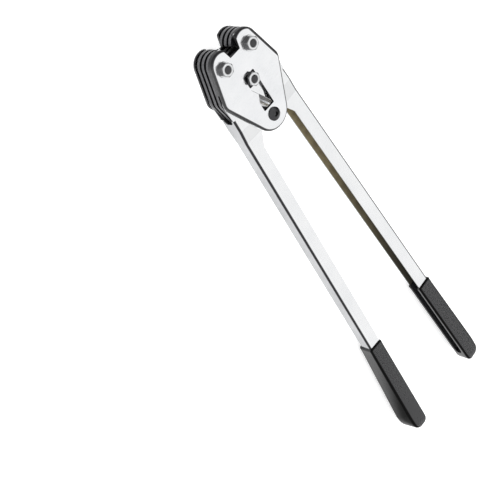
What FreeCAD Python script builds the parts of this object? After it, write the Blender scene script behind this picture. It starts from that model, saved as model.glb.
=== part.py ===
"""Hand sealer for steel strapping: two long channel handles work a toggle that closes laminated jaws.

The tool lies on its back. +Z points out of the front side plate, +Y points to the jaws, X runs
across the tool. All shapes are drawn about the top edge of the slot, on the middle plane of the
head, and are moved at the end so that the origin is the bottom centre of the whole tool.
"""
import os
import math
import FreeCAD
import Part

V = FreeCAD.Vector
UP = V(0, 0, 1)

# ---------------------------------------------------------------- driving dimensions, millimetres
plate_thickness = 3.2
jaw_thickness = 3.8
jaw_gap = 3.3
sheet = 1.5
sheet_play = 0.04
face_play = 0.3
running_fit = 0.05
front_edge_round = 2.9
rear_edge_round = 0.8
mouth_round = 0.5

pivot_x = 19.5
pivot_y = 21.7
link_x = 31.0
link_y = -9.0
drive_y = -6.7
tip_screw_y = -52.6

lobe_x = 17.2
lobe_y = 24.2
lobe_radius = 15.2
corner_radius = 10.5
corner_rise = 0.5
tip_centre_y = -46.9
tip_radius = 21.9
pad_low_y = 4.2
pad_half_gap = 9.8
jaw_inset = 0.4
jaw_tail_x = 30.9
jaw_tail_y = -30.0
jaw_tail_radius = 6.5

mouth_width = 13.9
mouth_bottom_y = 25.8
mouth_flare = 2.4
mouth_height = 9.4
nose_tip_y = 30.4
nose_root_y = 28.8
nose_pocket_y = 26.4
nose_pocket_x = 9.2
nose_slope_x = 7.6

slot_width = 14.7
slot_length = 43.0
slot_corner_radius = 0.8

bolt_radius = 4.0
nut_flats = 13.0
nut_height = 4.4
bolt_head_height = 5.3
bolt_proud = 0.8
washer_radius = 8.0
washer_thickness = 1.2
spacer_radius = 7.4
anvil_end_radius = 7.4

block_height = 13.0
block_proud = 0.2
block_corner = 1.0
bush_radius = 6.5
tip_spacer_radius = 6.0
tip_head_radius = 7.1
tip_head_wall = 0.9
tip_head_dome = 2.2
tip_socket_flats = 5.0
tip_socket_depth = 1.8
link_pin_radius = 4.0
link_slack = 1.8
link_spacer_radius = 6.6

handle_width = 16.4
handle_thickness = 17.0
handle_splay = 2.87
handle_length = 493.0
bend_radius = 2.6
drive_boss_radius = 9.8
link_boss_radius = 9.6
head_end = 64.6
web_top = 19.0
web_notch = 5.0
web_notch_round = 4.0
joggle_start = 33.0
joggle_length = 16.0
raise_point_x = 8.1
raise_point_y = -17.9
raise_lean = 15.8
raise_length = 3.4

grip_start = 358.0
grip_coat = 1.6
grip_tail = 8.0
grip_end_radius = 7.0

# ---------------------------------------------------------------- levels that follow from them
side_gap = 2 * sheet + 3 * sheet_play
outer_jaw_in = jaw_thickness / 2 + jaw_gap
outer_jaw_out = outer_jaw_in + jaw_thickness
plate_in = outer_jaw_out + side_gap
plate_out = plate_in + plate_thickness
head_level = outer_jaw_out + sheet_play
raised_level = head_level + sheet + sheet_play
channel_level = handle_thickness / 2 - sheet
tall = 2 * plate_out + 40


# ---------------------------------------------------------------- drawing helpers
def tangent_points(first, second):
    """Ends of the outer tangent of two circles (x, y, r), on the right of the way from one to two."""
    x1, y1, r1 = first
    x2, y2, r2 = second
    length = math.hypot(x2 - x1, y2 - y1)
    ux = (x2 - x1) / length
    uy = (y2 - y1) / length
    along = (r1 - r2) / length
    across = math.sqrt(1 - along * along)
    nx = ux * along + uy * across
    ny = uy * along - ux * across
    return V(x1 + r1 * nx, y1 + r1 * ny, 0), V(x2 + r2 * nx, y2 + r2 * ny, 0)


def belt_face(circles):
    """Face inside a belt pulled round circles (x, y, r), which are given counterclockwise."""
    count = len(circles)
    spans = [tangent_points(circles[i], circles[(i + 1) % count]) for i in range(count)]
    edges = []
    for i in range(count):
        x, y, r = circles[(i + 1) % count]
        arrive = spans[i][1]
        leave = spans[(i + 1) % count][0]
        edges.append(Part.LineSegment(spans[i][0], arrive).toShape())
        start = math.atan2(arrive.y - y, arrive.x - x)
        turn = (math.atan2(leave.y - y, leave.x - x) - start) % (2 * math.pi)
        middle = V(x + r * math.cos(start + turn / 2), y + r * math.sin(start + turn / 2), 0)
        edges.append(Part.Arc(arrive, middle, leave).toShape())
    return Part.Face(Part.Wire(edges))


def polygon_face(points):
    corners = [V(x, y, 0) for x, y in points]
    return Part.Face(Part.makePolygon(corners + corners[:1]))


def slab(face, low, high):
    """Solid between two heights with the outline of a face drawn at height zero."""
    copy = face.copy()
    copy.translate(V(0, 0, low))
    return copy.extrude(V(0, 0, high - low))


def rod(x, y, radius, low, high):
    return Part.makeCylinder(radius, high - low, V(x, y, low), UP)


def tube(x, y, outer, inner, low, high):
    return rod(x, y, outer, low, high).cut(rod(x, y, inner, low - 1, high + 1))


def hexagon(x, y, flats, turn):
    radius = flats / math.sqrt(3)
    angles = [math.radians(turn + 60 * i) for i in range(6)]
    return polygon_face([(x + radius * math.cos(a), y + radius * math.sin(a)) for a in angles])


def bevelled_hexagon(x, y, flats, low, high, bevel_top, bevel_bottom, turn):
    """Hexagonal prism whose corners are turned off at one end or both."""
    prism = slab(hexagon(x, y, flats, turn), low, high)
    corner = flats / math.sqrt(3)
    drop = (corner - flats / 2 + 0.3) * math.tan(math.radians(30))
    wide = corner + 0.3
    if bevel_top:
        narrow = flats / 2 - 0.1
        keep = rod(x, y, wide, low, high - drop)
        keep = keep.fuse(Part.makeCone(wide, narrow, drop, V(x, y, high - drop), UP))
        prism = prism.common(keep)
    if bevel_bottom:
        narrow = flats / 2 - 0.1
        keep = rod(x, y, wide, low + drop, high)
        keep = keep.fuse(Part.makeCone(narrow, wide, drop, V(x, y, low), UP))
        prism = prism.common(keep)
    return prism


def mirrored(shape):
    """The same piece on the other side of the tool's middle line."""
    return shape.mirror(V(0, 0, 0), V(1, 0, 0))


def turned_over(shape):
    """The same piece on the other face of the tool."""
    return shape.mirror(V(0, 0, 0), V(0, 0, 1))


def group(shapes):
    return Part.makeCompound(shapes)


def rounded(solid, radius, wanted):
    """Solid with a fillet on the edges that wanted(edge) picks."""
    edges = [edge for edge in solid.Edges if wanted(edge)]
    return solid.makeFillet(radius, edges)


def flat_at(height):
    """Test for edges that lie wholly at one height."""
    def wanted(edge):
        box = edge.BoundBox
        return abs(box.ZMin - height) < 1e-4 and abs(box.ZMax - height) < 1e-4
    return wanted


# ---------------------------------------------------------------- side plates
def mouth_face():
    """Strap mouth, which opens upwards between the two lobes."""
    half = mouth_width / 2
    reach = lobe_y + lobe_radius + 5
    slope = mouth_flare / mouth_height
    top = half + slope * (reach - mouth_bottom_y)
    cut = polygon_face([(-half, mouth_bottom_y), (half, mouth_bottom_y), (top, reach), (-top, reach)])
    between = polygon_face([(-lobe_x, mouth_bottom_y), (lobe_x, mouth_bottom_y),
                            (lobe_x, reach), (-lobe_x, reach)])
    for side in (1, -1):
        lobe = Part.Face(Part.Wire(Part.makeCircle(lobe_radius, V(side * lobe_x, lobe_y, 0), UP)))
        between = between.cut(lobe)
    return cut, between


def slot_face():
    half = slot_width / 2 - slot_corner_radius
    top = -slot_corner_radius
    bottom = -slot_length + slot_corner_radius
    return belt_face([(-half, bottom, slot_corner_radius), (half, bottom, slot_corner_radius),
                      (half, top, slot_corner_radius), (-half, top, slot_corner_radius)])


def pad_face(outline):
    """The part of the plate, beside the mouth and above the handles, that is thick."""
    reach = 80
    clear = polygon_face([(-reach, pad_low_y), (-reach, -reach), (reach, -reach), (reach, pad_low_y)])
    middle = polygon_face([(-pad_half_gap, -reach), (pad_half_gap, -reach),
                           (pad_half_gap, reach), (-pad_half_gap, reach)])
    return outline.cut(clear).cut(middle)


def rim_at(height):
    """Test for the edges of a plate's rim at one height, without the floor of the mouth."""
    flat = flat_at(height)

    def wanted(edge):
        box = edge.BoundBox
        floor = box.YLength < 1e-4 and abs(box.YMin - mouth_bottom_y) < 1e-4
        return flat(edge) and not floor
    return wanted


def mouth_edge_at(height):
    """Test for the straight edges of the mouth at one height."""
    flat = flat_at(height)

    def wanted(edge):
        box = edge.BoundBox
        near = box.XMin > -pad_half_gap and box.XMax < pad_half_gap and box.YMin > mouth_bottom_y - 0.1
        return flat(edge) and near and len(edge.Vertexes) == 2 and edge.Curve.TypeId == "Part::GeomLine"
    return wanted


def side_plate(padded, edge_round):
    """Front side plate: two lobes with the mouth between them, two corners and a rounded tip.

    A padded plate is thicker beside the mouth, where it bears on the front jaw plates.
    """
    outline = belt_face([(0, tip_centre_y, tip_radius), (link_x, link_y + corner_rise, corner_radius),
                         (lobe_x, lobe_y, lobe_radius), (-lobe_x, lobe_y, lobe_radius),
                         (-link_x, link_y + corner_rise, corner_radius)])
    mouth, between = mouth_face()
    plate = slab(outline, plate_in, plate_out)
    plate = plate.cut(slab(between, plate_in - 1, plate_out + 1))
    plate = rounded(plate, edge_round, rim_at(plate_out))
    if padded:
        plate = plate.fuse(slab(pad_face(outline), outer_jaw_out, plate_in)).removeSplitter()
    plate = plate.cut(slab(mouth, outer_jaw_out - 1, plate_out + 1))
    plate = rounded(plate, mouth_round, mouth_edge_at(plate_out))
    plate = plate.cut(slab(slot_face(), plate_in - 1, plate_out + 1))
    for x in (pivot_x, -pivot_x):
        plate = plate.cut(rod(x, pivot_y, bolt_radius + running_fit, outer_jaw_out - 1, plate_out + 1))
    return plate.cut(rod(0, tip_screw_y, bolt_radius + running_fit, plate_in - 1, plate_out + 1))


# ---------------------------------------------------------------- jaws and anvils
def jaw_layer(low, high):
    """One plate of the right-hand jaw: lobe with the nose, side along the plate's, and tail."""
    corner = (link_x, link_y + corner_rise, corner_radius - jaw_inset)
    side = belt_face([corner, (lobe_x, lobe_y, lobe_radius - jaw_inset)])
    tail = belt_face([(jaw_tail_x, jaw_tail_y, jaw_tail_radius), corner])
    jaw = slab(side, low, high).fuse(slab(tail, low, high))
    mouth = polygon_face([(-5, 5), (nose_pocket_x, 5), (nose_pocket_x, nose_pocket_y),
                          (nose_slope_x, nose_root_y), (0, nose_tip_y + 1.2), (-5, nose_tip_y + 1.2)])
    jaw = jaw.cut(slab(mouth, low - 1, high + 1))
    jaw = jaw.removeSplitter()
    jaw = jaw.cut(rod(pivot_x, pivot_y, bolt_radius + running_fit, low - 1, high + 1))
    jaw = jaw.cut(rod(link_x, link_y, link_pin_radius, low - 1, high + 1))
    return jaw


def anvil_plate():
    """Plate between two jaw layers that carries the strap in the mouth."""
    bar = belt_face([(-pivot_x, pivot_y, anvil_end_radius), (pivot_x, pivot_y, anvil_end_radius)])
    low = jaw_thickness / 2
    high = low + jaw_gap
    anvil = slab(bar, low, high)
    half = nose_pocket_x + 0.6
    mouth = polygon_face([(-half, mouth_bottom_y), (half, mouth_bottom_y),
                          (half + 2, mouth_bottom_y + 10), (-half - 2, mouth_bottom_y + 10)])
    anvil = anvil.cut(slab(mouth, low - 1, high + 1))
    for side in (1, -1):
        anvil = anvil.cut(rod(side * pivot_x, pivot_y, bolt_radius + running_fit, low - 1, high + 1))
    return anvil


# ---------------------------------------------------------------- fasteners of the head
def hex_bolt(x, y, head_face, end):
    """Bolt whose head bears on the rear, at head_face, and whose end is bevelled."""
    head = bevelled_hexagon(x, y, nut_flats, head_face - bolt_head_height, head_face, False, True, 15)
    bevel = bolt_radius * 0.2
    shank = rod(x, y, bolt_radius, head_face, end - bevel)
    tip = Part.makeCone(bolt_radius, bolt_radius - bevel, bevel, V(x, y, end - bevel), UP)
    return head.fuse(shank).fuse(tip)


def hex_nut(x, y, low, turn):
    nut = bevelled_hexagon(x, y, nut_flats, low, low + nut_height, True, False, turn)
    return nut.cut(rod(x, y, bolt_radius, low - 1, low + nut_height + 1))


def tip_screw():
    """Low domed socket screw that holds the plates together at the tip."""
    dome_radius = (tip_head_radius ** 2 + tip_head_dome ** 2) / (2 * tip_head_dome)
    top = plate_out + tip_head_wall + tip_head_dome
    ball = Part.makeSphere(dome_radius, V(0, tip_screw_y, top - dome_radius))
    head = ball.common(rod(0, tip_screw_y, tip_head_radius, plate_out, top))
    socket = slab(hexagon(0, tip_screw_y, tip_socket_flats, 0), top - tip_socket_depth, top + 1)
    end = -plate_out - nut_height - bolt_proud
    return head.cut(socket).fuse(rod(0, tip_screw_y, bolt_radius, end, plate_out))


def drive_block():
    """Slide block that runs in the slot of one side plate and carries the drive bolt."""
    half = slot_width / 2 - running_fit - block_corner
    rise = block_height / 2 - block_corner
    face = belt_face([(-half, drive_y - rise, block_corner), (half, drive_y - rise, block_corner),
                      (half, drive_y + rise, block_corner), (-half, drive_y + rise, block_corner)])
    low = plate_in
    high = plate_out + block_proud
    return slab(face, low, high).cut(rod(0, drive_y, bolt_radius, low - 1, high + 1))


# ---------------------------------------------------------------- handles, drawn about the link pin
def to_tool(shape):
    """Moves a right-hand handle piece from its own axes to its place at rest."""
    shape.rotate(V(0, 0, 0), UP, handle_splay)
    shape.translate(V(link_x, link_y, 0))
    return shape


def handle_point(x, y):
    """A point of the tool in the right-hand handle's own axes."""
    turn = math.radians(-handle_splay)
    dx = x - link_x
    dy = y - link_y
    return dx * math.cos(turn) - dy * math.sin(turn), dx * math.sin(turn) + dy * math.cos(turn)


def head_face():
    """Outline of the wide flange end, from the drive boss and the link boss to the channel."""
    drive_px, drive_py = handle_point(0, drive_y)
    half = handle_width / 2
    corner = 0.5
    drive_boss = (drive_px, drive_py, drive_boss_radius)
    inner_end = (corner - half, -head_end, corner)
    upper = belt_face([(0, 0, link_boss_radius), drive_boss, inner_end,
                       (half - corner, -web_top - corner, corner)])
    lower = belt_face([drive_boss, inner_end, (half - corner, -head_end, corner),
                       (half - corner, -web_top - corner, corner)])
    return upper, lower


def across_profile(points):
    """Solid as wide as the head whose side view along the handle is the given (along, z) outline."""
    corners = [V(-60, y, z) for y, z in points]
    face = Part.Face(Part.makePolygon(corners + corners[:1]))
    return face.extrude(V(120, 0, 0))


def joggled_flange():
    """Flange that runs from the channel level, through the joggle, out to the head level."""
    low_end = -joggle_start - joggle_length
    end = -head_end - 1
    points = [(20, head_level), (-joggle_start, head_level), (low_end, channel_level),
              (end, channel_level), (end, channel_level + sheet), (low_end, channel_level + sheet),
              (-joggle_start, head_level + sheet), (20, head_level + sheet)]
    return across_profile(points)


def raised_flange():
    """Flat head whose part round the drive bolt is set one sheet higher."""
    start_x, start_y = handle_point(raise_point_x, raise_point_y)
    step = raised_level - head_level
    reach = 90
    corners = [V(-reach, 0, raised_level), V(0, 0, raised_level), V(raise_length, 0, head_level),
               V(reach, 0, head_level), V(reach, 0, head_level + sheet),
               V(raise_length, 0, head_level + sheet), V(0, 0, head_level + sheet + step),
               V(-reach, 0, head_level + sheet + step)]
    face = Part.Face(Part.makePolygon([c + V(0, -reach, 0) for c in corners + corners[:1]]))
    solid = face.extrude(V(0, 2 * reach, 0))
    solid.rotate(V(0, 0, 0), UP, -raise_lean - handle_splay)
    solid.translate(V(start_x, start_y, 0))
    return solid


def channel_section(half_thickness, along, coat=0.0, coat_inside=0.0):
    """U section at one place along the handle, open towards the tool's middle."""
    half_width = handle_width / 2
    left = -half_width - coat
    right = half_width + coat
    top = half_thickness + coat
    inner_top = half_thickness - sheet - coat_inside
    inner_right = half_width - sheet - coat_inside
    big = bend_radius + coat
    small = max(bend_radius - sheet - coat_inside, 0.3)
    k = 1 - math.sqrt(0.5)

    def at(x, z):
        return V(x, along, z)

    def corner(x, z, radius, sign):
        first = at(x - radius, sign * z)
        middle = at(x - radius * k, sign * (z - radius * k))
        last = at(x, sign * (z - radius))
        return first, middle, last

    outer_top = corner(right, top, big, 1)
    outer_low = corner(right, top, big, -1)
    inner_up = corner(inner_right, inner_top, small, 1)
    inner_low = corner(inner_right, inner_top, small, -1)
    edges = [Part.LineSegment(at(left, top), outer_top[0]), Part.Arc(*outer_top),
             Part.LineSegment(outer_top[2], outer_low[2]), Part.Arc(*outer_low[::-1]),
             Part.LineSegment(outer_low[0], at(left, -top)),
             Part.LineSegment(at(left, -top), at(left, -inner_top)),
             Part.LineSegment(at(left, -inner_top), inner_low[0]), Part.Arc(*inner_low),
             Part.LineSegment(inner_low[2], inner_up[2]), Part.Arc(*inner_up[::-1]),
             Part.LineSegment(inner_up[0], at(left, inner_top)),
             Part.LineSegment(at(left, inner_top), at(left, top))]
    return Part.Wire([edge.toShape() for edge in edges])


def channel_run(half_thickness, start, end, **coats):
    wire = channel_section(half_thickness, -start, **coats)
    return Part.Face(wire).extrude(V(0, start - end, 0))


def web_notch_tool():
    """Cutter for the round-cornered notch in the top of the web, between the bends."""
    reach = head_level - bend_radius
    low = -web_top - web_notch
    box = Part.makeBox(12, 3 * web_notch, 2 * reach, V(handle_width / 4, low, -reach))
    ends = [edge for edge in box.Edges
            if edge.BoundBox.XLength > 11 and abs(edge.BoundBox.YMax - low) < 1e-4]
    return box.makeFillet(web_notch_round, ends)


def handle(raised):
    """Channel handle with its two flange ends, still in its own axes."""
    half_head = head_level + sheet
    half_channel = handle_thickness / 2
    joggle_end = joggle_start + joggle_length
    body = channel_run(half_head, web_top, joggle_start)
    wires = [channel_section(half_head, -joggle_start), channel_section(half_channel, -joggle_end)]
    body = body.fuse(Part.makeLoft(wires, True, True))
    body = body.fuse(channel_run(half_channel, joggle_end, handle_length))

    upper, lower = head_face()
    outline = slab(upper, -tall, tall).fuse(slab(lower, -tall, tall))
    beside_web = Part.makeBox(60, 200, 2 * tall, V(handle_width / 4, -web_top - 200, -tall))
    outline = outline.cut(beside_web)
    above = Part.makeBox(200, 200, 2 * tall, V(-100, -joggle_start, -tall))
    if raised:
        flange = outline.common(above).common(raised_flange())
        flange = flange.fuse(outline.cut(above).common(joggled_flange()))
    else:
        flange = outline.common(joggled_flange())
    for piece in (flange, turned_over(flange)):
        body = body.fuse(piece)
    body = body.removeSplitter()

    body = body.cut(web_notch_tool())
    drive_px, drive_py = handle_point(0, drive_y)
    body = body.cut(rod(drive_px, drive_py, bolt_radius + running_fit, -tall, tall))
    body = body.cut(rod(0, 0, link_pin_radius + link_slack, -tall, tall))
    return body


def grip():
    """Dipped sleeve over the end of the channel, with a rounded closed tail."""
    half_channel = handle_thickness / 2
    end = handle_length + grip_tail
    coat = channel_run(half_channel, grip_start, handle_length, coat=grip_coat, coat_inside=grip_coat)
    half = handle_width / 2 + grip_coat
    depth = half_channel + grip_coat
    tail = Part.makeBox(2 * half, grip_tail, 2 * depth, V(-half, -end, -depth))
    low = [edge for edge in tail.Edges
           if abs(edge.BoundBox.YMax + end) < 1e-4 and edge.BoundBox.ZLength > depth]
    tail = tail.makeFillet(grip_end_radius, low)
    bent = [edge for edge in tail.Edges
            if edge.BoundBox.XMin > half - 1e-4 and edge.BoundBox.YLength < grip_tail
            and edge.BoundBox.ZLength < 1e-4]
    tail = tail.makeFillet(bend_radius, bent)
    metal = channel_run(half_channel, grip_start - 1, handle_length)
    return coat.fuse(tail).cut(metal)


# ---------------------------------------------------------------- all the pieces
def make_pieces():
    pieces = {}
    pieces["front_side_plate"] = side_plate(True, front_edge_round)
    pieces["rear_side_plate"] = turned_over(side_plate(False, rear_edge_round))

    front_jaw = jaw_layer(outer_jaw_in, outer_jaw_out)
    middle_jaw = jaw_layer(-jaw_thickness / 2, jaw_thickness / 2)
    layers = {"front": front_jaw, "middle": middle_jaw, "rear": turned_over(front_jaw)}
    for place, layer in layers.items():
        pieces["right_jaw_" + place] = layer
        pieces["left_jaw_" + place] = mirrored(layer)

    anvil = anvil_plate()
    pieces["front_anvil"] = anvil
    pieces["rear_anvil"] = turned_over(anvil)

    spacer = tube(pivot_x, pivot_y, spacer_radius, bolt_radius + running_fit, outer_jaw_out, plate_in)
    pieces["pivot_spacers"] = group([turned_over(spacer), turned_over(mirrored(spacer))])
    washer = tube(pivot_x, pivot_y, washer_radius, bolt_radius + running_fit,
                  plate_out, plate_out + washer_thickness)
    pieces["pivot_washers"] = group([washer, mirrored(washer)])
    nut_base = plate_out + washer_thickness
    pieces["pivot_nuts"] = group([hex_nut(pivot_x, pivot_y, nut_base, 21),
                                  hex_nut(-pivot_x, pivot_y, nut_base, 9)])
    bolt_end = nut_base + nut_height + bolt_proud
    pieces["right_pivot_bolt"] = hex_bolt(pivot_x, pivot_y, -plate_out, bolt_end)
    pieces["left_pivot_bolt"] = hex_bolt(-pivot_x, pivot_y, -plate_out, bolt_end)

    block = drive_block()
    block_face = plate_out + block_proud
    pieces["front_drive_block"] = block
    pieces["rear_drive_block"] = turned_over(block)
    pieces["drive_bush"] = tube(0, drive_y, bush_radius, bolt_radius, -outer_jaw_out, outer_jaw_out)
    pieces["drive_nut"] = hex_nut(0, drive_y, block_face, 12)
    pieces["drive_bolt"] = hex_bolt(0, drive_y, -block_face, block_face + nut_height + bolt_proud)

    pieces["tip_screw"] = tip_screw()
    pieces["tip_nut"] = turned_over(hex_nut(0, tip_screw_y, plate_out, 30))
    pieces["tip_spacer"] = tube(0, tip_screw_y, tip_spacer_radius, bolt_radius, -plate_in, plate_in)

    pin = rod(link_x, link_y, link_pin_radius, face_play - plate_in, plate_in - face_play)
    sleeve = tube(link_x, link_y, link_spacer_radius, link_pin_radius, jaw_thickness / 2, outer_jaw_in)
    sleeves = group([sleeve, turned_over(sleeve)])
    pieces["right_link_pin"] = pin
    pieces["left_link_pin"] = mirrored(pin)
    pieces["right_link_spacers"] = sleeves
    pieces["left_link_spacers"] = mirrored(sleeves)

    pieces["right_handle"] = to_tool(handle(raised=True))
    pieces["left_handle"] = mirrored(to_tool(handle(raised=False)))
    right_grip = to_tool(grip())
    pieces["right_grip"] = right_grip
    pieces["left_grip"] = mirrored(right_grip)
    return pieces


def save_pieces(pieces):
    """Moves the tool so that its box stands on the origin, and writes one file for each piece."""
    whole = Part.makeCompound(list(pieces.values())).optimalBoundingBox(False)
    shift = V(-(whole.XMin + whole.XMax) / 2, -(whole.YMin + whole.YMax) / 2, -whole.ZMin)
    os.makedirs("parts", exist_ok=True)
    for name, shape in pieces.items():
        shape.translate(shift)
        shape.exportStep(os.path.join("parts", name + ".step"))
    print("size %.2f %.2f %.2f" % (whole.XLength, whole.YLength, whole.ZLength))
    print("shift %.4f %.4f %.4f" % (shift.x, shift.y, shift.z))


save_pieces(make_pieces())
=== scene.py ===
"""Looks of the hand sealer: materials, modelled grips, studio light and camera."""

import math

import bmesh
import bpy
from mathutils import Matrix, Vector


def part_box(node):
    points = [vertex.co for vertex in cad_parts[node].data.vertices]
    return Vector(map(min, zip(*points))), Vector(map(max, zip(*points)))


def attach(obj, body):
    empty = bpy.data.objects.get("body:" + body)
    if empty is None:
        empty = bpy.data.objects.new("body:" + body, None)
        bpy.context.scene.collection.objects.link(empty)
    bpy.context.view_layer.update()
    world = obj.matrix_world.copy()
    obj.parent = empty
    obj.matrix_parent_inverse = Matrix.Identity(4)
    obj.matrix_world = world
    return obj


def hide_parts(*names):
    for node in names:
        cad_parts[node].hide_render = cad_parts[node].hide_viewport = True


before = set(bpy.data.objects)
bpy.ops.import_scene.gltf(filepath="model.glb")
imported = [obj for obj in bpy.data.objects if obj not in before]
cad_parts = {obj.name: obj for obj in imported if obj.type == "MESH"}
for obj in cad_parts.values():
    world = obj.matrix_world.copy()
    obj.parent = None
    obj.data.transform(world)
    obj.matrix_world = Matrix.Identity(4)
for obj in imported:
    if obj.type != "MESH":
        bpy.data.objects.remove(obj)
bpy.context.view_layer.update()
MM = 0.001

# ---------------------------------------------------------------- places read from the frame
plate_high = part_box("front_side_plate")[1]
FACE_Z = plate_high[2]
MIDDLE_Z = (plate_high[2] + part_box("rear_side_plate")[0][2]) / 2


def node_middle(name):
    low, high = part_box(name)
    return Vector([(a + b) / 2 for a, b in zip(low, high)])


DRIVE = node_middle("drive_bolt")
LINK = {"left": node_middle("left_link_pin"), "right": node_middle("right_link_pin")}
PIVOT = {"left": node_middle("left_pivot_bolt"), "right": node_middle("right_pivot_bolt")}
SPLAY = math.radians(2.87)


# ---------------------------------------------------------------- shader helpers
class Paint:
    """A material with a Principled surface and short calls for adding and joining nodes."""

    def __init__(self, name, **values):
        self.material = bpy.data.materials.new(name)
        self.material.use_nodes = True
        self.tree = self.material.node_tree
        self.surface = self.tree.nodes["Principled BSDF"]
        for key, value in values.items():
            self.set(key.replace("_", " ").title().replace("Ior", "IOR"), value)

    def set(self, socket, value):
        target = self.surface.inputs[socket]
        if isinstance(value, bpy.types.NodeSocket):
            self.tree.links.new(value, target)
        elif target.type == "RGBA":
            target.default_value = (*value, 1.0)
        else:
            target.default_value = value

    def add(self, kind, inputs=None, **settings):
        node = self.tree.nodes.new("ShaderNode" + kind)
        for key, value in settings.items():
            setattr(node, key, value)
        for key, value in (inputs or {}).items():
            if isinstance(value, bpy.types.NodeSocket):
                self.tree.links.new(value, node.inputs[key])
            else:
                node.inputs[key].default_value = value
        return node

    def place(self):
        """Object coordinates in millimetres, so that texture scales read as sizes."""
        coordinates = self.add("TexCoord").outputs["Object"]
        return self.add("VectorMath", {0: coordinates, 1: (1000, 1000, 1000)},
                        operation="MULTIPLY").outputs[0]

    def stretched(self, place, angle, along, across):
        """Coordinates turned about Z and scaled so that noise comes out as lines."""
        turned = self.add("Mapping", {"Vector": place, "Rotation": (0, 0, angle),
                                      "Scale": (along, across, across)})
        return turned.outputs["Vector"]

    def noise(self, place, scale, detail=4.0, roughness=0.55):
        return self.add("TexNoise", {"Vector": place, "Scale": scale, "Detail": detail,
                                     "Roughness": roughness}).outputs["Fac"]

    def ramp(self, value, low, high, out_low=0.0, out_high=1.0):
        return self.add("MapRange", {"Value": value, "From Min": low, "From Max": high,
                                     "To Min": out_low, "To Max": out_high}).outputs["Result"]

    def smooth(self, value, low, high):
        return self.add("MapRange", {"Value": value, "From Min": low, "From Max": high},
                        interpolation_type="SMOOTHSTEP").outputs["Result"]

    def math(self, operation, first, second=0.0):
        return self.add("Math", {0: first, 1: second}, operation=operation).outputs[0]

    def mix(self, factor, first, second):
        inputs = {0: factor, 6: first, 7: second}
        for key in (6, 7):
            if not isinstance(inputs[key], bpy.types.NodeSocket):
                inputs[key] = (*inputs[key], 1.0)
        return self.add("Mix", inputs, data_type="RGBA").outputs[2]

    def bump(self, height, strength, distance, under=None):
        inputs = {"Height": height, "Strength": strength, "Distance": distance}
        if under is not None:
            inputs["Normal"] = under
        normal = self.add("Bump", inputs).outputs["Normal"]
        self.set("Normal", normal)
        return normal


def scratches(paint, place, angles, width=0.62):
    """Sparse fine lines in a few directions, 0 where the metal is clean and 1 in a scratch."""
    total = None
    for turn in angles:
        lines = paint.noise(paint.stretched(place, turn, 0.05, 1.6), 1.0, 2.0, 0.4)
        fine = paint.ramp(lines, width, width + 0.06)
        total = fine if total is None else paint.math("MAXIMUM", total, fine)
    return total


# ---------------------------------------------------------------- materials
def bright_plate():
    """Nickel plate: a mirror on the flat, hairline scratches and rougher round edges; the round edges and
    sides get a painted dark reflection, and a painted dark line runs along the +X edge.
    """
    paint = Paint("bright_plate")
    place = paint.place()
    cloud = paint.noise(place, 0.045, 3.0)
    hair = scratches(paint, place, (0.4, 1.3, 2.3))
    lean = paint.add("SeparateXYZ", {0: paint.add("TexCoord").outputs["Normal"]}).outputs["Z"]
    flat_face = paint.smooth(paint.math("ABSOLUTE", lean), 0.93, 0.999)
    bright = paint.mix(paint.ramp(cloud, 0.3, 0.7), (0.93, 0.935, 0.945), (0.87, 0.88, 0.895))
    # Painted dark reflection: round edges and sides take a dark base colour, near black where they face +Y
    # (the jaw end).
    speck = paint.ramp(paint.noise(place, 0.8, 5.0), 0.35, 0.65)
    painted_dark_flank = paint.mix(speck, (0.075, 0.075, 0.077), (0.115, 0.115, 0.117))
    ahead = paint.add("SeparateXYZ", {0: paint.add("TexCoord").outputs["Normal"]}).outputs["Y"]
    painted_dark_flank = paint.mix(paint.smooth(ahead, 0.1, 0.8), painted_dark_flank, (0.03, 0.03, 0.032))
    # Painted dark line: a band 35.9 to 36.5 mm out from the drive bolt, on the plate's +X side, is coloured
    # near black.
    offset = paint.add("VectorMath", {0: place, 1: tuple(1000 * DRIVE)}, operation="SUBTRACT").outputs[0]
    outward = paint.add("VectorMath", {0: offset, 1: (0.9647, 0.2634, 0)}, operation="DOT_PRODUCT")
    painted_dark_border = paint.smooth(outward.outputs["Value"], 35.9, 36.5)
    bright = paint.mix(painted_dark_border, bright, (0.06, 0.06, 0.062))
    paint.set("Base Color", paint.mix(flat_face, painted_dark_flank, bright))
    rough = paint.ramp(cloud, 0.3, 0.7, 0.12, 0.2)
    rough = paint.math("ADD", rough, paint.math("MULTIPLY", hair, 0.12))
    dull = paint.math("MULTIPLY", paint.math("SUBTRACT", 1.0, flat_face), 0.3)
    paint.set("Roughness", paint.math("ADD", rough, dull))
    paint.set("Metallic", 1.0)
    paint.bump(hair, 0.25, 0.00004)
    return paint.material


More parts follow.
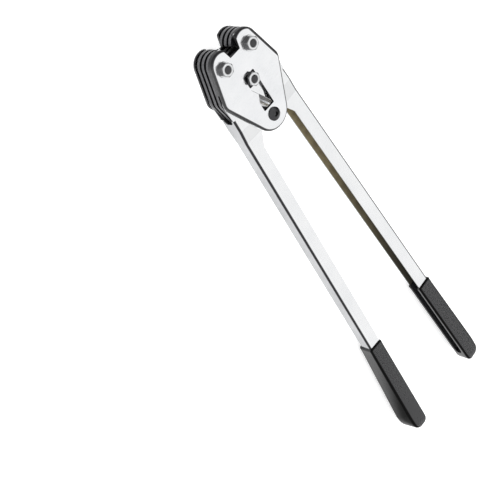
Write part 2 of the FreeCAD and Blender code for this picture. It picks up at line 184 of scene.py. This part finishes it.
def handle_plating(side):
    """Plated sheet outside, painted darker on upright faces and near black along the bends as painted shade;
    inside the channel the plating is dull and painted dark as shade, brown-tinted on the right.
    """
    paint = Paint("handle_plating_" + side)
    place = paint.place()
    sign = 1 if side == "right" else -1
    turn = sign * SPLAY
    drawn = paint.noise(paint.stretched(place, -turn, 2.2, 0.02), 1.0, 3.0)
    cloud = paint.noise(place, 0.03, 3.0)
    hair = scratches(paint, place, (1.45, 0.9))

    coordinates = paint.add("TexCoord")
    offset = paint.add("VectorMath", {0: coordinates.outputs["Object"],
                                      1: (LINK[side].x, LINK[side].y, MIDDLE_Z)}, operation="SUBTRACT")
    outward = (sign * math.cos(SPLAY), math.sin(SPLAY), 0)
    across = paint.add("VectorMath", {0: offset.outputs[0], 1: outward}, operation="DOT_PRODUCT")
    facing = paint.add("VectorMath", {0: coordinates.outputs["Normal"], 1: outward}, operation="DOT_PRODUCT")
    height = paint.add("SeparateXYZ", {0: offset.outputs[0]}).outputs["Z"]
    lean = paint.add("SeparateXYZ", {0: coordinates.outputs["Normal"]}).outputs["Z"]
    towards_middle = paint.math("LESS_THAN", paint.math("MULTIPLY", paint.math("SIGN", height), lean), -0.4)
    within = paint.math("LESS_THAN", paint.math("ABSOLUTE", height), 6.9 * MM)
    web_inside = paint.math("MULTIPLY", within, paint.math("LESS_THAN", facing.outputs["Value"], -0.3))
    beyond_edge = paint.math("GREATER_THAN", across.outputs["Value"], -60 * MM)
    inside = paint.math("MULTIPLY", paint.math("MAXIMUM", towards_middle, web_inside), beyond_edge)

    plated = paint.mix(paint.ramp(cloud, 0.3, 0.7), (0.92, 0.925, 0.93), (0.86, 0.87, 0.88))
    # Painted shade: upright faces (the web and the sheet edges) take this darker colour.
    web = paint.mix(paint.ramp(cloud, 0.3, 0.7), (0.46, 0.465, 0.475), (0.36, 0.365, 0.375))
    upright = paint.math("ABSOLUTE", lean)
    flat = paint.smooth(upright, 0.15, 0.9)
    plated = paint.mix(flat, web, plated)
    # Painted shade: the bends between the flat and upright faces are coloured near black.
    bend_shade = paint.math("MULTIPLY", paint.smooth(upright, 0.06, 0.3), paint.smooth(upright, 0.999, 0.96))
    plated = paint.mix(paint.math("MULTIPLY", bend_shade, 0.97), plated, (0.03, 0.03, 0.032))
    downward = (sign * math.sin(SPLAY), -math.cos(SPLAY), 0)
    along = paint.add("VectorMath", {0: offset.outputs[0], 1: downward}, operation="DOT_PRODUCT")
    along = along.outputs["Value"]
    # Painted shade inside the channel, brown-tinted on the right: darker further down the handle, lighter
    # grey near the link pin on the right and near black there on the left.
    patch = paint.ramp(paint.noise(place, 0.09, 5.0), 0.35, 0.65)
    if side == "right":
        stain_and_shade = paint.mix(patch, (0.34, 0.29, 0.175), (0.23, 0.19, 0.12))
        stain_and_shade = paint.mix(paint.smooth(along, 0.09, 0.36), stain_and_shade, (0.05, 0.045, 0.035))
        stain_and_shade = paint.mix(paint.smooth(along, 0.055, 0.035), stain_and_shade, (0.55, 0.55, 0.56))
    else:
        stain_and_shade = paint.mix(patch, (0.16, 0.15, 0.13), (0.07, 0.065, 0.06))
        stain_and_shade = paint.mix(paint.smooth(along, 0.055, 0.035), stain_and_shade, (0.05, 0.05, 0.05))
    paint.set("Base Color", paint.mix(inside, plated, stain_and_shade))
    paint.set("Metallic", paint.math("SUBTRACT", 1.0, paint.math("MULTIPLY", inside, 0.75)))
    outside = paint.math("ADD", paint.ramp(drawn, 0.3, 0.7, 0.12, 0.2), paint.math("MULTIPLY", hair, 0.1))
    paint.set("Roughness", paint.math("MAXIMUM", outside, paint.math("MULTIPLY", inside, 0.5)))
    paint.bump(drawn, 0.04, 0.00005)
    return paint.material


def black_steel(name, color, worn, rough_low, rough_high):
    """Oiled black oxide whose sawn or ground side faces show a little bare steel."""
    paint = Paint(name, metallic=0.85)
    place = paint.place()
    coordinates = paint.add("TexCoord").outputs["Normal"]
    upright = paint.math("ABSOLUTE", paint.add("SeparateXYZ", {0: coordinates}).outputs["Z"])
    side_face = paint.math("LESS_THAN", upright, 0.5)
    grain = paint.noise(place, 0.9, 6.0, 0.65)
    ground = paint.noise(paint.stretched(place, 0.0, 0.9, 0.9), 1.0, 2.0)
    worn_part = paint.math("MULTIPLY", side_face, paint.ramp(ground, 0.35, 0.6, 0.45, 1.0))
    paint.set("Base Color", paint.mix(worn_part, color, worn))
    paint.set("Roughness", paint.ramp(grain, 0.3, 0.7, rough_low, rough_high))
    paint.bump(grain, 0.12, 0.00006)
    return paint.material


def plated_fastener(name, color, shaded_facet, rough_low, rough_high, ring=None):
    """Turned or forged steel: bright tops, and side faces painted dark as shade, mottled with oil.

    A ring is (inner, outer) in millimetres: the part of a nut's top kept bright; outside it the top is
    painted darker as shade.
    """
    paint = Paint(name, metallic=1.0)
    place = paint.place()
    grain = paint.noise(place, 1.4, 4.0)
    smear = paint.noise(place, 0.25, 2.0)
    lean = paint.add("SeparateXYZ", {0: paint.add("TexCoord").outputs["Normal"]}).outputs["Z"]
    top = paint.smooth(paint.math("ABSOLUTE", lean), 0.35, 0.8)
    dark = tuple(0.8 * value for value in color)
    oil_and_shade = tuple(0.35 * value for value in shaded_facet)
    bright = paint.mix(paint.ramp(smear, 0.35, 0.65), color, dark)
    # Painted shade: side faces take the darker side colour given by the caller, mottled with an oilier tone.
    side = paint.mix(paint.ramp(grain, 0.35, 0.65), shaded_facet, oil_and_shade)
    # Painted light and shade by facing: faces toward -Y take half the top colour, faces toward +Y (the jaw
    # end) are painted darker.
    ahead = paint.add("SeparateXYZ", {0: paint.add("TexCoord").outputs["Normal"]}).outputs["Y"]
    side = paint.mix(paint.smooth(ahead, -0.1, -0.7), side, tuple(0.5 * value for value in color))
    side = paint.mix(paint.smooth(ahead, 0.6, 1.0), side, oil_and_shade)
    if ring:
        nearest = None
        for centre in (DRIVE, PIVOT["left"], PIVOT["right"]):
            level = (1000 * centre.x, 1000 * centre.y, 0)
            offset = paint.add("VectorMath", {0: place, 1: level}, operation="SUBTRACT").outputs[0]
            offset = paint.add("VectorMath", {0: offset, 1: (1, 1, 0)}, operation="MULTIPLY").outputs[0]
            length = paint.add("VectorMath", {0: offset}, operation="LENGTH").outputs["Value"]
            nearest = length if nearest is None else paint.math("MINIMUM", nearest, length)
        # Painted shade: the top outside the ring is darkened to 0.42 of the top colour.
        unshaded_ring = paint.math("MULTIPLY", paint.smooth(nearest, ring[0] - 0.15, ring[0] + 0.15),
                           paint.smooth(nearest, ring[1] + 0.15, ring[1] - 0.15))
        bright = paint.mix(unshaded_ring, tuple(0.42 * value for value in color), bright)
    paint.set("Base Color", paint.mix(top, side, bright))
    paint.set("Roughness", paint.ramp(grain, 0.3, 0.7, rough_low, rough_high))
    paint.bump(grain, 0.08, 0.00004)
    return paint.material


def vinyl():
    """Dipped vinyl: black and semi-gloss, with fine grain and slow ripples; creases are painted darker and
    less glossy as shade, and side faces get less gloss than top faces as painted shade.
    """
    paint = Paint("vinyl_grip", metallic=0.0)
    place = paint.place()
    ripple = paint.noise(place, 0.06, 2.0)
    skin = paint.noise(place, 1.3, 6.0, 0.7)
    lean = paint.add("SeparateXYZ", {0: paint.add("TexCoord").outputs["Normal"]}).outputs["Z"]
    lean = paint.math("ABSOLUTE", lean)
    # Painted shade: creases are coloured darker and lose most of their gloss.
    crease_shade = paint.math("MULTIPLY", paint.smooth(lean, 0.06, 0.3), paint.smooth(lean, 0.995, 0.93))
    colour = paint.mix(paint.ramp(skin, 0.35, 0.65), (0.006, 0.006, 0.007), (0.018, 0.018, 0.0195))
    paint.set("Base Color", paint.mix(crease_shade, colour, (0.002, 0.002, 0.002)))
    # Painted shade: side faces get a lower specular level than top faces.
    facing_specular = paint.ramp(lean, 0.2, 0.8, 0.34, 0.58)
    paint.set("Specular IOR Level", paint.math("MULTIPLY", facing_specular, paint.ramp(crease_shade, 0.0, 1.0, 1.0, 0.1)))
    paint.set("Roughness", paint.ramp(skin, 0.3, 0.7, 0.20, 0.36))
    under = paint.bump(ripple, 0.25, 0.0012)
    paint.bump(skin, 0.3, 0.00012, under)
    return paint.material


def floor_white():
    """Light table: white and faintly lit from below, so that shadows stay soft."""
    paint = Paint("studio_floor", roughness=0.6)
    place = paint.place()
    shade = paint.noise(place, 0.004, 2.0)
    paint.set("Base Color", paint.mix(shade, (0.93, 0.93, 0.93), (0.915, 0.915, 0.915)))
    paint.set("Emission Color", (1.0, 1.0, 1.0))
    paint.set("Emission Strength", 0.42)
    return paint.material


def dress(material, *names):
    for name in names:
        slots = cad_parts[name].data.materials
        slots.clear()
        slots.append(material)


def dress_frame():
    jaw_steel = black_steel("black_jaw_steel", (0.022, 0.022, 0.025), (0.115, 0.115, 0.12), 0.3, 0.48)
    anvil_steel = black_steel("black_anvil_steel", (0.02, 0.02, 0.022), (0.07, 0.07, 0.07), 0.35, 0.5)
    zinc = (0.84, 0.85, 0.86)
    unshaded_ring = (4.5, 6.15)
    # The second colour of each fastener is painted shade for its side faces; the drive nut's near-black
    # sides stand for the shade beside the drive block.
    nut_steel = plated_fastener("zinc_fastener", zinc, (0.2, 0.2, 0.205), 0.14, 0.26, unshaded_ring)
    block_nut = plated_fastener("drive_fastener", zinc, (0.07, 0.07, 0.072), 0.14, 0.26, unshaded_ring)
    washer_steel = plated_fastener("washer_steel", zinc, (0.16, 0.16, 0.165), 0.16, 0.28)
    bolt_steel = plated_fastener("dark_bolt", (0.085, 0.085, 0.088), (0.05, 0.05, 0.05), 0.25, 0.5)
    screw_steel = plated_fastener("black_screw", (0.075, 0.075, 0.078), (0.03, 0.03, 0.03), 0.14, 0.28)
    plain_steel = plated_fastener("plain_steel", (0.42, 0.42, 0.43), (0.3, 0.3, 0.31), 0.25, 0.4)
    dress(bright_plate(), "front_side_plate", "rear_side_plate")
    for side in ("left", "right"):
        dress(handle_plating(side), side + "_handle")
        dress(jaw_steel, *[side + "_jaw_" + place for place in ("front", "middle", "rear")])
        dress(plain_steel, side + "_link_pin", side + "_link_spacers")
        dress(bolt_steel, side + "_pivot_bolt")
    dress(anvil_steel, "front_anvil", "rear_anvil", "front_drive_block", "rear_drive_block")
    dress(nut_steel, "pivot_nuts")
    dress(washer_steel, "pivot_washers", "tip_nut")
    dress(block_nut, "drive_nut")
    dress(bolt_steel, "drive_bolt")
    dress(screw_steel, "tip_screw")
    dress(plain_steel, "pivot_spacers", "tip_spacer", "drive_bush")


# ---------------------------------------------------------------- modelled pieces
def place_piece(name, mesh, material, body, *nodes):
    mesh.materials.clear()
    mesh.materials.append(material)
    mesh.shade_smooth()
    mesh.set_sharp_from_angle(angle=math.radians(40))
    piece = bpy.data.objects.new(name, mesh)
    bpy.context.scene.collection.objects.link(piece)
    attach(piece, body)
    if nodes:
        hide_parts(*nodes)
    return piece


def rounded_ring(low, high, reach, corner, steps=7):
    """Points (across, z) round a rectangle with rounded corners, counter-clockwise."""
    points = []
    for turn, (across, z) in enumerate(((high - corner, reach - corner), (low + corner, reach - corner),
                                        (low + corner, corner - reach), (high - corner, corner - reach))):
        for step in range(steps + 1):
            angle = math.pi / 2 * (turn + step / steps)
            points.append((across + corner * math.cos(angle), z + corner * math.sin(angle)))
    return points


def skin(build, rings):
    """Joins rings of equal length with quads and closes both ends."""
    rows = [[build.verts.new(point) for point in ring] for ring in rings]
    count = len(rows[0])
    for first, second in zip(rows, rows[1:]):
        for index in range(count):
            after = (index + 1) % count
            build.faces.new((first[index], first[after], second[after], second[index]))
    build.faces.new(list(reversed(rows[0])))
    build.faces.new(rows[-1])
    bmesh.ops.recalc_face_normals(build, faces=build.faces)


def handle_place(side, along, across, z):
    """Point on the side's handle: millimetres down from the link pin, outwards and up."""
    sign = 1 if side == "right" else -1
    origin = LINK[side]
    x = sign * (across * math.cos(SPLAY) + along * math.sin(SPLAY))
    y = across * math.sin(SPLAY) - along * math.cos(SPLAY)
    return Vector((origin.x + x * MM, origin.y + y * MM, MIDDLE_Z + z * MM))


def quarter_round(distance, radius):
    """0 farther than the radius from an end, rising to 1 at the end along a quarter circle."""
    closing = min(1.0, max(0.0, radius - distance) / radius)
    return 1 - math.sqrt(1 - closing * closing)


def grip_solid(side):
    """Outside of the dipped sleeve: soft-edged, a thick lip at its start, flared round tail."""
    start, end = 357.6, 502.2
    stations = [start + 0.02, start + 0.35, start + 1.0, start + 1.9, start + 3.2]
    stations += [start + 3.2 + (end - 36 - start - 3.2) * step / 14 for step in range(1, 15)]
    stations += [end - 36 + 24 * step / 10 for step in range(1, 11)]
    stations += [end - 12 + 12 * math.sin(math.pi / 2 * step / 9) for step in range(1, 10)]
    rings = []
    for along in stations:
        from_start = along - start
        from_end = end - along
        lip = 1.5 * (1 - min(1.0, from_start / 1.9)) ** 2
        swell = 0.25 * math.exp(-((from_start - 1.9) / 1.2) ** 2)
        flare = max(0.0, from_start) / (end - start)
        inset = quarter_round(from_end, 10)
        high = 9.8 - lip + swell - 9.0 * inset
        low = -9.8 + lip - swell + 6.6 * inset
        reach = 10.1 - lip + swell - 4.2 * inset
        points = rounded_ring(low, high, reach, 2.9)
        ring = []
        for across, z in points:
            rear = 0.5 - z / 20.2
            outward = max(0.0, across) / 9.8
            across += flare * outward * (1.6 + 7.6 * rear)
            across -= outward * (3 + 15 * rear) * quarter_round(from_end, 30)
            wave = 1.4 * math.cos(math.pi * z / 10.1) * max(0.0, 1 - from_start / 9)
            ring.append(handle_place(side, along + wave - 1.0 * max(0.0, 1 - from_start / 9), across, z))
        rings.append(ring)
    build = bmesh.new()
    skin(build, rings)
    return build


def grip_cutter(side):
    """The open side of the channel, which the coat follows to near the tail."""
    stations = [340 + 8 * step for step in range(18)]
    stations += [476 + 10 * math.sin(math.pi / 2 * step / 6) for step in range(1, 7)]
    rings = []
    for along in stations:
        closing = max(0.0, along - 476) / 10
        inset = 1 - math.sqrt(max(0.0, 1 - min(1.0, closing) ** 2))
        reach = 5.3 - 3.5 * inset
        rings.append([handle_place(side, along, across, z)
                      for across, z in rounded_ring(-24, 5.2 - 4 * inset, reach, min(1.6, reach * 0.9))])
    build = bmesh.new()
    skin(build, rings)
    return build


def cut_mesh(name, solid, cutter):
    """The solid with the cutter taken out of it, as a mesh of its own."""
    made = []
    for label, build in (("solid", solid), ("cutter", cutter)):
        mesh = bpy.data.meshes.new(name + "_" + label)
        build.to_mesh(mesh)
        build.free()
        thing = bpy.data.objects.new(name + "_" + label, mesh)
        bpy.context.scene.collection.objects.link(thing)
        made.append(thing)
    body, tool = made
    cut = body.modifiers.new("cut", "BOOLEAN")
    cut.operation = "DIFFERENCE"
    cut.solver = "EXACT"
    cut.object = tool
    soften = body.modifiers.new("soften", "BEVEL")
    soften.width = 0.9 * MM
    soften.segments = 3
    soften.limit_method = "ANGLE"
    soften.angle_limit = math.radians(50)
    graph = bpy.context.evaluated_depsgraph_get()
    result = bpy.data.meshes.new_from_object(body.evaluated_get(graph))
    for thing in made:
        bpy.data.objects.remove(thing)
    return result


def make_grips():
    for side in ("left", "right"):
        mesh = cut_mesh(side + "_grip_cut", grip_solid(side), grip_cutter(side))
        piece = place_piece(side + "_dipped_grip", mesh, vinyl(), side + "_handle", side + "_grip")


# ---------------------------------------------------------------- studio
def make_floor():
    mesh = bpy.data.meshes.new("studio_floor")
    build = bmesh.new()
    reach = 45.0
    turns = ((-1, -1), (1, -1), (1, 1), (-1, 1))
    build.faces.new([build.verts.new((x * reach, y * reach, 0)) for x, y in turns])
    build.to_mesh(mesh)
    build.free()
    floor = bpy.data.objects.new("studio_floor", mesh)
    mesh.materials.append(floor_white())
    bpy.context.scene.collection.objects.link(floor)


def make_world():
    """Bright overhead tent above a dark ring, which draws the edges of the metal, with one gap."""
    world = bpy.data.worlds.new("studio_world")
    bpy.context.scene.world = world
    world.use_nodes = True
    tree = world.node_tree

    def node(kind, inputs, **settings):
        made = tree.nodes.new("ShaderNode" + kind)
        for key, value in settings.items():
            setattr(made, key, value)
        for key, value in inputs.items():
            if isinstance(value, bpy.types.NodeSocket):
                tree.links.new(value, made.inputs[key])
            else:
                made.inputs[key].default_value = value
        return made.outputs[0]

    def math(operation, first, second=0.0):
        return node("Math", {0: first, 1: second}, operation=operation)

    def smooth(value, low, high):
        return node("MapRange", {"Value": value, "From Min": low, "From Max": high},
                    interpolation_type="SMOOTHSTEP")

    direction = tree.nodes.new("ShaderNodeTexCoord").outputs["Generated"]
    split = tree.nodes.new("ShaderNodeSeparateXYZ")
    tree.links.new(direction, split.inputs[0])
    level = node("VectorMath", {0: direction, 1: (1, 1, 0)}, operation="MULTIPLY")
    heading = node("VectorMath", {0: level}, operation="NORMALIZE")
    turn = tree.nodes.new("ShaderNodeSeparateXYZ")
    tree.links.new(heading, turn.inputs[0])
    rightward = smooth(turn.outputs["X"], 0.2, 0.7)
    ring_top = math("ADD", 0.24, math("MULTIPLY", rightward, 0.20))
    tent = smooth(math("SUBTRACT", split.outputs["Z"], ring_top), 0.0, 0.22)
    product = node("VectorMath", {0: heading, 1: (0.407, -0.914, 0)}, operation="DOT_PRODUCT")
    gap = smooth(product.node.outputs["Value"], 0.92, 0.97)
    light = math("MAXIMUM", tent, gap)
    strength = math("ADD", 0.2, math("MULTIPLY", light, 0.78))
    background = tree.nodes["Background"]
    background.inputs["Color"].default_value = (1.0, 1.0, 1.0, 1.0)
    tree.links.new(strength, background.inputs["Strength"])


def add_area(name, place, aim, size, power, color=(1, 1, 1)):
    light = bpy.data.lights.new(name, "AREA")
    light.shape = "RECTANGLE"
    light.size, light.size_y = size
    light.energy = power
    light.color = color
    lamp = bpy.data.objects.new(name, light)
    lamp.location = place
    lamp.rotation_euler = (Vector(aim) - Vector(place)).to_track_quat("-Z", "Y").to_euler()
    lamp.visible_glossy = False
    bpy.context.scene.collection.objects.link(lamp)


def make_lights():
    add_area("key_softbox", (-0.9, 0.9, 1.5), (0, 0, 0), (1.2, 1.2), 16)
    add_area("far_softbox", (0.9, -1.3, 1.7), (0, 0, 0), (1.6, 1.2), 16)


def make_camera():
    """Looks down on the front plate from the jaw end, rolled as the object was pictured."""
    place = DRIVE + Vector((-0.4817, 0.49468, 0)) + Vector((0, 0, FACE_Z + 0.86756 - DRIVE.z))
    aim = place + Vector((0.3820, -0.6374, -0.8841))
    upward = Vector((0.7161, 0.6751, -0.1773))
    back = (place - aim).normalized()
    right = upward.cross(back).normalized()
    up = back.cross(right)
    turn = Matrix((right, up, back)).transposed().to_4x4()
    data = bpy.data.cameras.new("camera")
    data.sensor_width = 36.0
    data.lens = 81.1
    data.clip_end = 200
    camera = bpy.data.objects.new("camera", data)
    camera.matrix_world = Matrix.Translation(place) @ turn
    bpy.context.scene.collection.objects.link(camera)
    bpy.context.scene.camera = camera


dress_frame()
make_grips()
make_floor()
make_world()
make_lights()
make_camera()
bpy.context.scene.view_settings.view_transform = "Standard"
